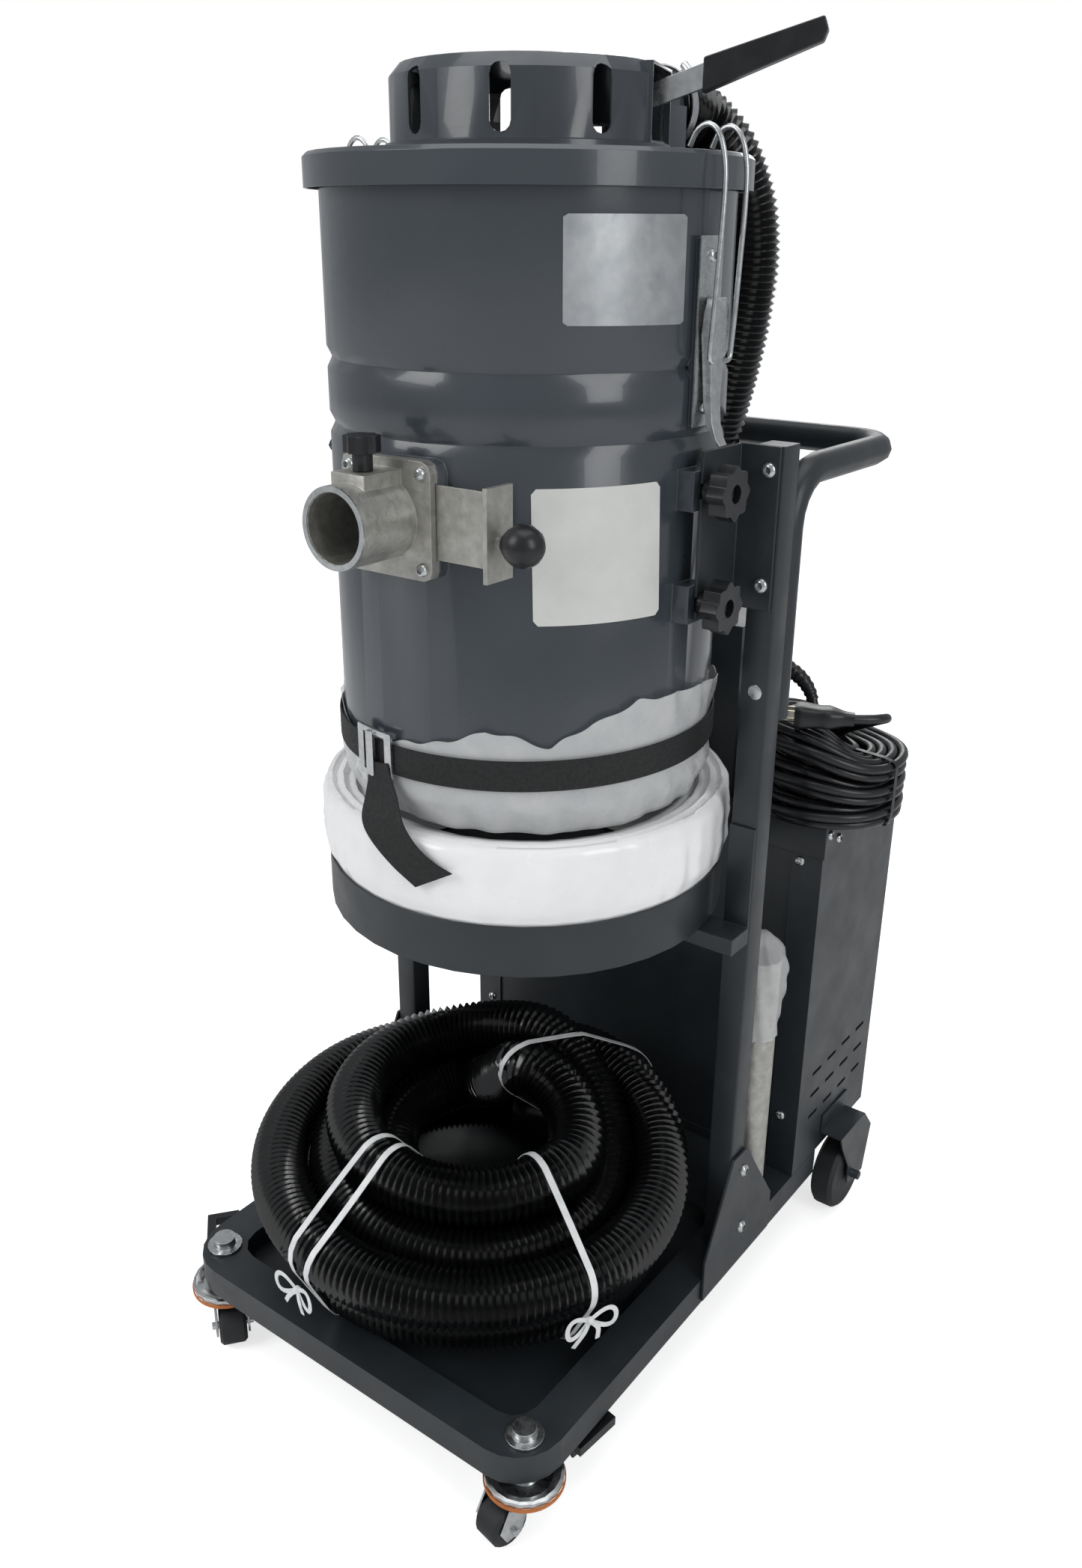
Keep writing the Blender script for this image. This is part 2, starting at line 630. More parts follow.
def build_cover(parent):
    """The slotted cover over the purge valve, with the flat-sided mouth that the lever comes out of."""
    base = LID_PLATE + GAP
    top = base + COVER_HEIGHT
    frame = upright((0, TANK_Y, 0))
    mesh = bmesh.new()
    add_turned(mesh, [(0.0, base), (COVER_RADIUS + 0.004, base), (COVER_RADIUS + 0.004, base + 0.006),
                      (COVER_RADIUS, base + 0.007), (COVER_RADIUS, top - 0.010), (COVER_RADIUS - 0.008, top - 0.001),
                      (COVER_RADIUS - 0.014, top), (0.0, top)], 36, frame)
    cover = finish("purge_cover", mesh, gloss_paint(), parent=parent)
    duct = upright((0, TANK_Y, 0), DUCT_ANGLE)
    mesh = bmesh.new()
    add_prism(mesh, [(0.03, -DUCT_HALF), (DUCT_REACH, -DUCT_HALF), (DUCT_REACH, DUCT_HALF), (0.03, DUCT_HALF)],
              base + 0.0005, top - 0.002, duct)
    join(cover, tool("cover_mouth", mesh))
    mesh = bmesh.new()
    inner = COVER_RADIUS - SHEET
    add_turned(mesh, [(0.0, base - 0.01), (inner, base - 0.01), (inner, top - 0.011), (inner - 0.008, top - SHEET),
                      (0.0, top - SHEET)], 36, frame)
    cut(cover, tool("cover_hollow", mesh))
    mesh = bmesh.new()
    mouth = DUCT_HALF - SHEET
    add_prism(mesh, [(0.04, -mouth), (DUCT_REACH + 0.03, -mouth), (DUCT_REACH + 0.03, mouth), (0.04, mouth)],
              base + 0.008, top - 0.002 - SHEET, duct)
    cut(cover, tool("cover_opening", mesh))
    pitch = 2 * math.pi / COVER_SLOTS
    first = math.radians(-103.8)
    for index in range(COVER_SLOTS):
        turn = first + index * pitch
        if abs(math.remainder(turn - DUCT_ANGLE, 2 * math.pi)) < pitch * 0.6:
            continue
        mesh = bmesh.new()
        slot = rounded_outline((base + 0.010, -SLOT_WIDTH / 2), (top - 0.007, SLOT_WIDTH / 2), SLOT_WIDTH * 0.49, 3)
        place = upright((0, TANK_Y, 0), turn - math.pi / 2) @ along_y()
        add_prism(mesh, slot, inner - 0.02, COVER_RADIUS + 0.02, place)
        cut(cover, tool(f"cover_slot_{index}", mesh))
    for name, way in (("near", -1), ("far", 1)):
        mesh = bmesh.new()
        low, high = sorted((way * PIVOT_EAR, way * (PIVOT_EAR + SHEET)))
        reach = LEVER_PIVOT
        add_prism(mesh, [(reach - 0.008, low), (reach + 0.008, low), (reach + 0.008, high), (reach - 0.008, high)],
                  LEVER_PIVOT_Z - 0.007, top - SHEET / 2, duct)
        join(cover, tool(f"pivot_ear_{name}", mesh))
    return cover


PIVOT_EAR = 0.014


def duct_point(reach, height, across=0.0):
    """A place given by its reach out of the cover's mouth."""
    return (reach * math.cos(DUCT_ANGLE) - across * math.sin(DUCT_ANGLE),
            TANK_Y + reach * math.sin(DUCT_ANGLE) + across * math.cos(DUCT_ANGLE), height)


def build_lever(parent):
    """The flat purge bar: a level inner end beside the valve stem, a pivot pin, and the sloping outer bar."""
    half_wide = 0.0025
    half_deep = 0.008
    tilt = 1.0 / math.sqrt(1 + LEVER_SLOPE ** 2)
    slope_z = lambda reach: LEVER_PIVOT_Z + (reach - LEVER_PIVOT) * LEVER_SLOPE
    outline = [(0.008, LEVER_PIVOT_Z - half_deep), (LEVER_PIVOT, LEVER_PIVOT_Z - half_deep),
               (GRIP_END, slope_z(GRIP_END) - half_deep / tilt), (GRIP_END, slope_z(GRIP_END) + half_deep / tilt),
               (LEVER_PIVOT, LEVER_PIVOT_Z + half_deep), (0.008, LEVER_PIVOT_Z - 0.0005)]
    frame = upright((0, TANK_Y, 0), DUCT_ANGLE) @ Matrix.Rotation(math.pi / 2, 4, "X")
    mesh = bmesh.new()
    add_prism(mesh, outline, LEVER_SIDE - half_wide, LEVER_SIDE + half_wide, frame)
    pivot = duct_point(LEVER_PIVOT, LEVER_PIVOT_Z)
    lever = finish("purge_lever", mesh, zinc(), pivot, parent)
    mesh = bmesh.new()
    pin = PIVOT_EAR - GAP
    add_cylinder(mesh, 0.004, duct_point(LEVER_PIVOT, LEVER_PIVOT_Z, -pin), duct_point(LEVER_PIVOT, LEVER_PIVOT_Z, pin), 10)
    join(lever, tool("lever_pin", mesh))

    grip_start = GRIP_END + 0.0005
    mesh = bmesh.new()
    lift = 0.0075 / tilt
    outline = [(GRIP_START, slope_z(GRIP_START) - lift - 0.0035), (LEVER_TIP, slope_z(LEVER_TIP) - lift),
               (LEVER_TIP + 0.003, slope_z(LEVER_TIP)), (LEVER_TIP, slope_z(LEVER_TIP) + lift),
               (GRIP_START, slope_z(GRIP_START) + lift + 0.0035)]
    add_prism(mesh, outline, LEVER_SIDE - 0.0065, LEVER_SIDE + 0.0065, frame)
    grip = finish("lever_grip", mesh, black_rubber(), pivot, parent)
    mesh = bmesh.new()
    bar = [(GRIP_START - 0.02, slope_z(GRIP_START - 0.02) - half_deep / tilt - GAP),
           (grip_start, slope_z(grip_start) - half_deep / tilt - GAP),
           (grip_start, slope_z(grip_start) + half_deep / tilt + GAP),
           (GRIP_START - 0.02, slope_z(GRIP_START - 0.02) + half_deep / tilt + GAP)]
    add_prism(mesh, bar, LEVER_SIDE - half_wide - GAP, LEVER_SIDE + half_wide + GAP, frame)
    cut(grip, tool("grip_socket", mesh))


GRIP_START = 0.131
GRIP_END = 0.185
LEVER_SIDE = 0.0063     # the bar runs beside the valve's stem


def build_flap(parent):
    """The purge valve: a disc over the lid's hole, with a stem and the collar the lever lifts."""
    base = LID_PLATE + GAP
    mesh = bmesh.new()
    collar = LEVER_PIVOT_Z + 0.0003
    add_turned(mesh, [(0.0, base), (VALVE_RADIUS + 0.010, base), (VALVE_RADIUS + 0.010, base + 0.005),
                      (0.0035, base + 0.007), (0.0035, collar), (0.0100, collar), (0.0100, collar + 0.004),
                      (0.0, collar + 0.004)], 24, upright((0, TANK_Y, 0)))
    finish("purge_flap", mesh, black_rubber(), (0, TANK_Y, base), parent)


def build_port(parent):
    """The cast suction port: a square flange, a round socket and the boss of its clamping screw."""
    face = TANK_Y - TANK_RADIUS - 0.0035 - GAP
    back = face - GATE_SHEET - GAP
    mesh = bmesh.new()
    half = PORT_FLANGE
    add_prism(mesh, rounded_outline((PORT_Z - half, -half), (PORT_Z + half, half), 0.008, 2), back - 0.006, face, along_y())
    port = finish("inlet_port", mesh, casting(), parent=parent)
    mesh = bmesh.new()
    add_cylinder(mesh, PORT_OUTER, (0, back - PORT_REACH + 0.004, PORT_Z), (0, back - 0.003, PORT_Z), 24)
    join(port, tool("port_socket", mesh))
    mesh = bmesh.new()
    add_box(mesh, (-0.016, PORT_KNOB_Y - 0.016, PORT_Z + 0.018), (0.016, back - 0.003, PORT_BOSS))
    join(port, tool("port_boss", mesh))
    mesh = bmesh.new()
    add_box(mesh, (-half - 0.01, face - GATE_SHEET - 2 * GAP, PORT_Z - GATE_HALF - GAP),
            (half + 0.01, face + 0.01, PORT_Z + GATE_HALF + GAP))
    cut(port, tool("gate_way", mesh))
    mesh = bmesh.new()
    add_cylinder(mesh, PORT_BORE, (0, back - PORT_REACH - 0.01, PORT_Z), (0, face + 0.01, PORT_Z), 24)
    cut(port, tool("port_bore", mesh))
    mesh = bmesh.new()
    add_cylinder(mesh, 0.0071, (0, PORT_KNOB_Y, PORT_Z + PORT_BORE - 0.008), (0, PORT_KNOB_Y, PORT_BOSS + 0.01), 10)
    cut(port, tool("port_screw_hole", mesh))

    mesh = bmesh.new()
    bottom = PORT_Z + PORT_BORE + 0.001
    add_turned(mesh, [(0.0, bottom), (0.006, bottom), (0.006, PORT_BOSS + GAP), (0.0075, PORT_BOSS + GAP),
                      (0.0075, PORT_BOSS + 0.014), (0.0, PORT_BOSS + 0.014)], 12, upright((0, PORT_KNOB_Y, 0)))
    knob = finish("inlet_knob", mesh, black_plastic(), (0, PORT_KNOB_Y, bottom), parent)
    mesh = bmesh.new()
    star_base = PORT_BOSS + 0.013
    add_prism(mesh, lobed_outline(0.0135, 8, 0.0022, 4), star_base, star_base + 0.012, upright((0, PORT_KNOB_Y, 0)))
    join(knob, tool("inlet_knob_star", mesh))


PORT_BOSS = PORT_Z + 0.036
PORT_KNOB_Y = TANK_Y - TANK_RADIUS - 0.0345


def build_gate(parent):
    """The sliding plate that shuts the port, its end flange, and the ball knob on its stud."""
    face = TANK_Y - TANK_RADIUS - 0.0035 - GAP - GAP / 2
    closed_edge = PORT_BORE + 0.004
    mesh = bmesh.new()
    add_box(mesh, (closed_edge, face - GATE_SHEET, PORT_Z - GATE_HALF), (GATE_END, face, PORT_Z + GATE_HALF))
    gate = finish("gate_plate", mesh, casting(), parent=parent)
    mesh = bmesh.new()
    add_box(mesh, (GATE_END - GATE_SHEET / 2, face - 0.019, PORT_Z - GATE_HALF - 0.006),
            (GATE_END + GATE_SHEET, face + 0.010, PORT_Z + GATE_HALF + 0.006))
    join(gate, tool("gate_flange", mesh))
    stud_y = face - 0.006
    mesh = bmesh.new()
    add_cylinder(mesh, 0.004, (GATE_END + 0.0005, stud_y, PORT_Z - 0.005), (GATE_END + 0.0125, stud_y, PORT_Z - 0.005), 10)
    join(gate, tool("gate_stud", mesh))

    start = GATE_END + GATE_SHEET + 0.005
    radius = 0.0155
    profile = [(0.0, 0.0), (0.006, 0.0)]
    for step in range(1, 7):
        turn = math.radians(-66 + 26 * step)
        profile.append((radius * math.cos(turn), radius + 0.001 + radius * math.sin(turn)))
    profile.append((0.0, 2 * radius + 0.001))
    mesh = bmesh.new()
    add_turned(mesh, profile, 16, along_x((start, stud_y, PORT_Z - 0.005)))
    ball = finish("gate_knob", mesh, black_plastic(), parent=parent)
    mesh = bmesh.new()
    add_cylinder(mesh, 0.004 + GAP, (start - 0.01, stud_y, PORT_Z - 0.005), (GATE_END + 0.013, stud_y, PORT_Z - 0.005), 10)
    cut(ball, tool("gate_knob_thread", mesh))


def build_pan(parent):
    """The round pan that carries the bag pack, and the channel that hangs it on the posts' fronts."""
    frame = upright((0, TANK_Y, 0))
    mesh = bmesh.new()
    add_turned(mesh, [(0.0, PAN_BOTTOM), (PAN_RADIUS, PAN_BOTTOM), (PAN_RADIUS, PAN_BOTTOM + PAN_HEIGHT),
                      (PAN_RADIUS - SHEET, PAN_BOTTOM + PAN_HEIGHT), (PAN_RADIUS - SHEET, PAN_BOTTOM + SHEET),
                      (0.0, PAN_BOTTOM + SHEET)], 40, frame)
    finish("bag_pan", mesh, texture_paint(), parent=parent)

    top = PAN_BOTTOM - GAP
    wide = POST_X + 0.012
    back = POST_FRONT - GAP
    mesh = bmesh.new()
    add_box(mesh, (-wide, back - SADDLE_DEPTH, top - SADDLE_HEIGHT), (wide, back, top))
    saddle = finish("pan_saddle", mesh, texture_paint(), parent=parent)
    mesh = bmesh.new()
    add_box(mesh, (-wide + SHEET, back - SADDLE_DEPTH + SHEET, top - SADDLE_HEIGHT - 0.01),
            (wide - SHEET, back - SHEET - 0.0004, top - SHEET))
    cut(saddle, tool("saddle_channel", mesh))
    for side, sign in SIDES.items():
        mesh = bmesh.new()
        low, high = sorted((sign * (POST_X - 0.012), sign * wide))
        add_box(mesh, (low, back - SHEET - 0.0004, top - SADDLE_HEIGHT), (high, back, SADDLE_TOP))
        join(saddle, tool(f"saddle_tab_{side}", mesh))


SADDLE_DEPTH = 0.030
SADDLE_HEIGHT = 0.016
SADDLE_TOP = 0.545


def build_bags(parent):
    """The folded ring of endless bag in the pan, and the film sleeve drawn up over the tank's foot."""
    frame = upright((0, TANK_Y, 0))
    inner = TANK_RADIUS - 0.028
    rim = PAN_BOTTOM + PAN_HEIGHT + GAP
    seat = PAN_BOTTOM + SHEET + GAP
    body = PAN_RADIUS - SHEET - 0.0008
    mesh = bmesh.new()
    add_turned(mesh, [(inner, seat), (body, seat), (body, rim), (PACK_RADIUS, rim + 0.004),
                      (PACK_RADIUS, PACK_TOP - 0.014), (PACK_RADIUS - 0.010, PACK_TOP), (inner + 0.008, PACK_TOP),
                      (inner, PACK_TOP - 0.008)], 32, frame)
    finish("bag_pack", mesh, white_film(), parent=parent)

    hem = TANK_RADIUS + GAP
    low = PACK_TOP + GAP
    thick = 0.0012
    mesh = bmesh.new()
    add_turned(mesh, [(hem - 0.016, low), (hem - 0.010, low), (hem + thick, TANK_BOTTOM + 0.001),
                      (hem + thick, FILM_TOP), (hem, FILM_TOP), (hem, TANK_BOTTOM - 0.002)], 40, frame)
    finish("bag_film", mesh, white_film(), parent=parent)

    ring = hem + thick + GAP
    mesh = bmesh.new()
    add_turned(mesh, [(ring, STRAP_BOTTOM), (ring + STRAP_THICK, STRAP_BOTTOM),
                      (ring + STRAP_THICK, STRAP_BOTTOM + STRAP_WIDTH), (ring, STRAP_BOTTOM + STRAP_WIDTH)], 40, frame)
    finish("strap", mesh, webbing(), parent=parent)

    place = upright((0, TANK_Y, 0), BUCKLE_ANGLE)
    mesh = bmesh.new()
    out = ring + STRAP_THICK + GAP
    middle = STRAP_BOTTOM + STRAP_WIDTH / 2
    add_prism(mesh, [(out, -0.014), (out + 0.006, -0.014), (out + 0.006, 0.014), (out, 0.014)],
              middle - 0.016, middle + 0.016, place)
    finish("strap_buckle", mesh, zinc(), parent=parent)


FILM_TOP = 0.690
BUCKLE_ANGLE = math.radians(-116)


def build_motor_box():
    """The folded sheet box on the deck, open underneath and framed at the front."""
    half = DECK_WIDTH / 2
    base = DECK_TOP + GAP
    mesh = bmesh.new()
    add_box(mesh, (-half, BOX_FRONT, base), (half, DECK_BACK, BOX_TOP))
    box = finish("motor_box", mesh, texture_paint())
    mesh = bmesh.new()
    add_box(mesh, (-half + SHEET, BOX_FRONT + SHEET, base - 0.01), (half - SHEET, DECK_BACK - SHEET, BOX_TOP - SHEET))
    cut(box, tool("box_hollow", mesh))
    mesh = bmesh.new()
    window = half - BOX_FLANGE
    add_box(mesh, (-window, BOX_FRONT - 0.01, base + 0.012), (window, BOX_FRONT + 0.010, BOX_TOP - 0.034))
    cut(box, tool("box_window", mesh))
    mesh = bmesh.new()
    add_cylinder(mesh, 0.030, (0, HEAD_MIDDLE, BOX_TOP - 0.01), (0, HEAD_MIDDLE, BOX_TOP + 0.01), 20)
    cut(box, tool("box_air_hole", mesh))
    for side, sign in SIDES.items():
        mesh = bmesh.new()
        low, high = sorted((sign * (half - 0.03), sign * (half + 0.03)))
        for row in range(5):
            for column in range(4):
                at = LOUVRE_FRONT + column * LOUVRE_PITCH + (row % 2) * LOUVRE_PITCH / 2
                height = LOUVRE_BASE + row * 0.0135
                if row % 2 == 0:
                    add_box(mesh, (low, at, height), (high, at + LOUVRE_SLOT, height + 0.004))
        cut(box, tool(f"box_louvres_{side}", mesh))

    mesh = bmesh.new()
    add_box(mesh, (-half + SHEET + 0.001, BOX_FRONT + SHEET + GAP, base + 0.001),
            (half - SHEET - 0.001, BOX_FRONT + 2 * SHEET + GAP, BOX_TOP - SHEET - 0.001))
    finish("box_front_panel", mesh, texture_paint())

    mesh = bmesh.new()
    front = BOX_FRONT - GAP
    low, high = BOX_TOP - 0.033, BOX_TOP
    side_x = half + GAP
    outline = [(-side_x - SHEET, front - SHEET), (side_x + SHEET, front - SHEET), (side_x + SHEET, BOX_FRONT + 0.034),
               (side_x, BOX_FRONT + 0.034), (side_x, front), (-side_x, front), (-side_x, BOX_FRONT + 0.034),
               (-side_x - SHEET, BOX_FRONT + 0.034)]
    add_prism(mesh, outline, low, high)
    finish("box_strap", mesh, texture_paint())


HEAD_MIDDLE = (HEAD_FRONT + HEAD_BACK) / 2
LOUVRE_FRONT = 0.170
LOUVRE_PITCH = 0.035
LOUVRE_SLOT = 0.020
LOUVRE_BASE = 0.148


def build_head():
    """The upper housing that the hose blows into, with its switch and the cable's gland."""
    base = BOX_TOP + GAP
    mesh = bmesh.new()
    add_box(mesh, (-HEAD_HALF, HEAD_FRONT, base), (HEAD_HALF, HEAD_BACK, HEAD_TOP))
    head = finish("motor_head", mesh, texture_paint())
    mesh = bmesh.new()
    add_box(mesh, (-HEAD_HALF + SHEET, HEAD_FRONT + SHEET, base - 0.01),
            (HEAD_HALF - SHEET, HEAD_BACK - SHEET, HEAD_TOP - SHEET))
    cut(head, tool("head_hollow", mesh))
    mesh = bmesh.new()
    add_cylinder(mesh, HOSE_RADIUS - 0.005, (HOSE_FOOT[0], HOSE_FOOT[1], HEAD_TOP - 0.001),
                 (HOSE_FOOT[0], HOSE_FOOT[1], HEAD_TOP + SPIGOT), 20)
    join(head, tool("head_spigot", mesh))
    mesh = bmesh.new()
    add_cylinder(mesh, HOSE_RADIUS - 0.0075, (HOSE_FOOT[0], HOSE_FOOT[1], HEAD_TOP - 0.01),
                 (HOSE_FOOT[0], HOSE_FOOT[1], HEAD_TOP + SPIGOT + 0.01), 20)
    cut(head, tool("spigot_bore", mesh))
    mesh = bmesh.new()
    add_cylinder(mesh, CABLE_RADIUS + 0.0026, (HEAD_HALF - 0.01, GLAND[1], GLAND[2]), (HEAD_HALF + 0.01, GLAND[1], GLAND[2]), 10)
    cut(head, tool("gland_hole", mesh))
    mesh = bmesh.new()
    add_box(mesh, (SWITCH_X - 0.0110, HEAD_BACK - 0.01, SWITCH_Z - 0.0170),
            (SWITCH_X + 0.0110, HEAD_BACK + 0.01, SWITCH_Z + 0.0170))
    cut(head, tool("switch_hole", mesh))

    mesh = bmesh.new()
    outline = [(-0.0155, -0.008), (0.0155, -0.008), (0.0155, 0.0022), (0.0, 0.0010), (-0.0155, 0.0052)]
    frame = along_x((SWITCH_X, HEAD_BACK, SWITCH_Z)) @ Matrix.Rotation(-math.pi / 2, 4, "Z")
    add_prism(mesh, [(x, y) for x, y in outline], -0.0105, 0.0105, frame)
    finish("power_switch", mesh, black_plastic(), (SWITCH_X, HEAD_BACK - 0.004, SWITCH_Z))

    mesh = bmesh.new()
    start = HEAD_HALF - SHEET - 0.004
    add_turned(mesh, [(0.0, start), (0.0065, start), (0.0065, HEAD_HALF + GAP), (0.010, HEAD_HALF + GAP),
                      (0.010, HEAD_HALF + 0.007), (0.0065, GLAND[0]), (0.0, GLAND[0])], 12,
               along_x((0, GLAND[1], GLAND[2])))
    finish("cable_gland", mesh, black_plastic())


HOSE_FOOT = (0.002, 0.1885)
SPIGOT = 0.030
GLAND = (HEAD_HALF + 0.018, 0.200, 0.622)
SWITCH_X = -0.060
SWITCH_Z = 0.625


def build_motor():
    """The vacuum motor on the deck inside the box, and the impeller on its shaft."""
    base = DECK_TOP + GAP
    frame = upright((0, HEAD_MIDDLE + 0.035, 0))
    top = base + 0.170
    mesh = bmesh.new()
    add_turned(mesh, [(0.0, base), (MOTOR_RADIUS + 0.015, base), (MOTOR_RADIUS + 0.015, base + 0.004),
                      (MOTOR_RADIUS, base + 0.006), (MOTOR_RADIUS, top), (0.006, top), (0.006, top + 0.045),
                      (0.0, top + 0.045)], 24, frame)
    finish("motor", mesh, zinc())
    mesh = bmesh.new()
    under = top + 0.0008
    add_turned(mesh, [(0.0064, under), (IMPELLER_RADIUS, under), (IMPELLER_RADIUS, under + 0.018),
                      (0.014, under + 0.030), (0.0064, under + 0.030)], 24, frame)
    finish("impeller", mesh, casting(), (0, HEAD_MIDDLE + 0.035, under))


def build_cable():
    """The power cable: out of the gland, into a tied hank on the box, with its plug lying on top."""
    top = BOX_TOP + GAP + HANK_HEIGHT
    route = [(GLAND[0] + GAP, GLAND[1], GLAND[2]), (GLAND[0] + 0.014, GLAND[1], GLAND[2] - 0.001),
             (GLAND[0] + 0.030, GLAND[1] + 0.001, GLAND[2] - 0.010), (GLAND[0] + 0.039, GLAND[1] + 0.002, GLAND[2] - 0.026),
             (GLAND[0] + 0.042, GLAND[1] + 0.002, top + GAP)]
    tube_along("power_cable", smooth_route(route, 0.012), CABLE_RADIUS, black_rubber())

    mesh = bmesh.new()
    base = BOX_TOP + GAP
    crown = HANK_HEIGHT
    add_turned(mesh, [(HANK_INNER, base + 0.012), (HANK_INNER + 0.010, base), (HANK_OUTER - 0.014, base),
                      (HANK_OUTER, base + 0.020), (HANK_OUTER, base + crown - 0.024), (HANK_OUTER - 0.014, base + crown),
                      (HANK_INNER + 0.010, base + crown), (HANK_INNER, base + crown - 0.012)], 20,
               upright((*HANK_CENTRE, 0)))
    finish("cable_hank", mesh, black_rubber())

    mesh = bmesh.new()
    frame = upright((PLUG[0], PLUG[1], top + GAP), math.radians(22))
    body = [(-0.018, -0.013), (0.010, -0.013), (0.030, -0.006), (0.030, 0.006), (0.010, 0.013), (-0.018, 0.013)]
    add_prism(mesh, body, 0.0, 0.024, frame)
    plug = finish("plug", mesh, black_plastic())
    for name, shift in (("upper", 0.0175), ("lower", 0.0045)):
        mesh = bmesh.new()
        add_prism(mesh, [(-0.036, -0.0008), (-0.017, -0.0008), (-0.017, 0.0008), (-0.036, 0.0008)],
                  shift - 0.0032, shift + 0.0032, frame)
        join(plug, tool(f"plug_blade_{name}", mesh))


PLUG = (0.192, 0.140)


def build_lid_hose():
    """The hose between the lid's neck and the motor head, held at both ends."""
    start = NECK_FOOT[1] + 0.0010
    route = [(NECK_X, start, NECK_Z), (NECK_X, start + 0.0205, NECK_Z), (0.031, 0.149, 1.090), (0.0475, 0.169, 1.067),
             (0.0595, 0.182, 1.030), (0.0635, 0.1865, 0.990), (0.0605, 0.187, 0.950), (0.0540, 0.187, 0.910),
             (0.0450, 0.187, 0.870), (0.0345, 0.187, 0.830), (0.0240, 0.1875, 0.790), (0.0120, 0.188, 0.750),
             (HOSE_FOOT[0] + 0.0010, HOSE_FOOT[1], 0.715), (HOSE_FOOT[0], HOSE_FOOT[1], 0.698), (HOSE_FOOT[0], HOSE_FOOT[1], HEAD_TOP + 0.0008)]
    hose = tube_along("lid_hose", smooth_route(route, 0.0205), HOSE_RADIUS, hose_plastic(), 3)
    hose.name = "lid_hose_guide"
    hose.hide_render = True
    hose.display_type = "WIRE"
    graph = bpy.context.evaluated_depsgraph_get()
    data = bpy.data.meshes.new_from_object(hose.evaluated_get(graph))
    solid = bpy.data.objects.new("lid_hose", data)
    bpy.context.scene.collection.objects.link(solid)
    mesh = bmesh.new()
    add_cylinder(mesh, HOSE_RADIUS - 0.0045, (NECK_X, start - 0.01, NECK_Z), (NECK_X, NECK_END + 0.0015, NECK_Z), 20)
    cut(solid, tool("hose_neck_socket", mesh))
    mesh = bmesh.new()
    add_cylinder(mesh, HOSE_RADIUS - 0.0045, (HOSE_FOOT[0], HOSE_FOOT[1], HEAD_TOP - 0.01),
                 (HOSE_FOOT[0], HOSE_FOOT[1], HEAD_TOP + SPIGOT + 0.0015), 20)
    cut(solid, tool("hose_foot_socket", mesh))


def build_handle():
    """The push handle: one bent tube whose legs stand behind the posts."""
    x = POST_X
    y = POST_BACK + HANDLE_RADIUS + GAP
    back = y + HANDLE_REACH
    bend = HANDLE_BEND
    steps = 5
    half = [(x, y, HANDLE_FOOT)]
    for step in range(steps + 1):
        turn = math.pi / 2 * step / steps
        half.append((x, y + bend * (1 - math.cos(turn)), HANDLE_HEIGHT - bend + bend * math.sin(turn)))
    for step in range(steps + 1):
        turn = math.pi / 2 * step / steps
        half.append((x - bend * (1 - math.cos(turn)), back - bend + bend * math.sin(turn), HANDLE_HEIGHT))
    other = [(-px, py, pz) for px, py, pz in half[::-1]]
    tube_along("handle", [Vector(p) for p in half + other], HANDLE_RADIUS, texture_paint(), 3)


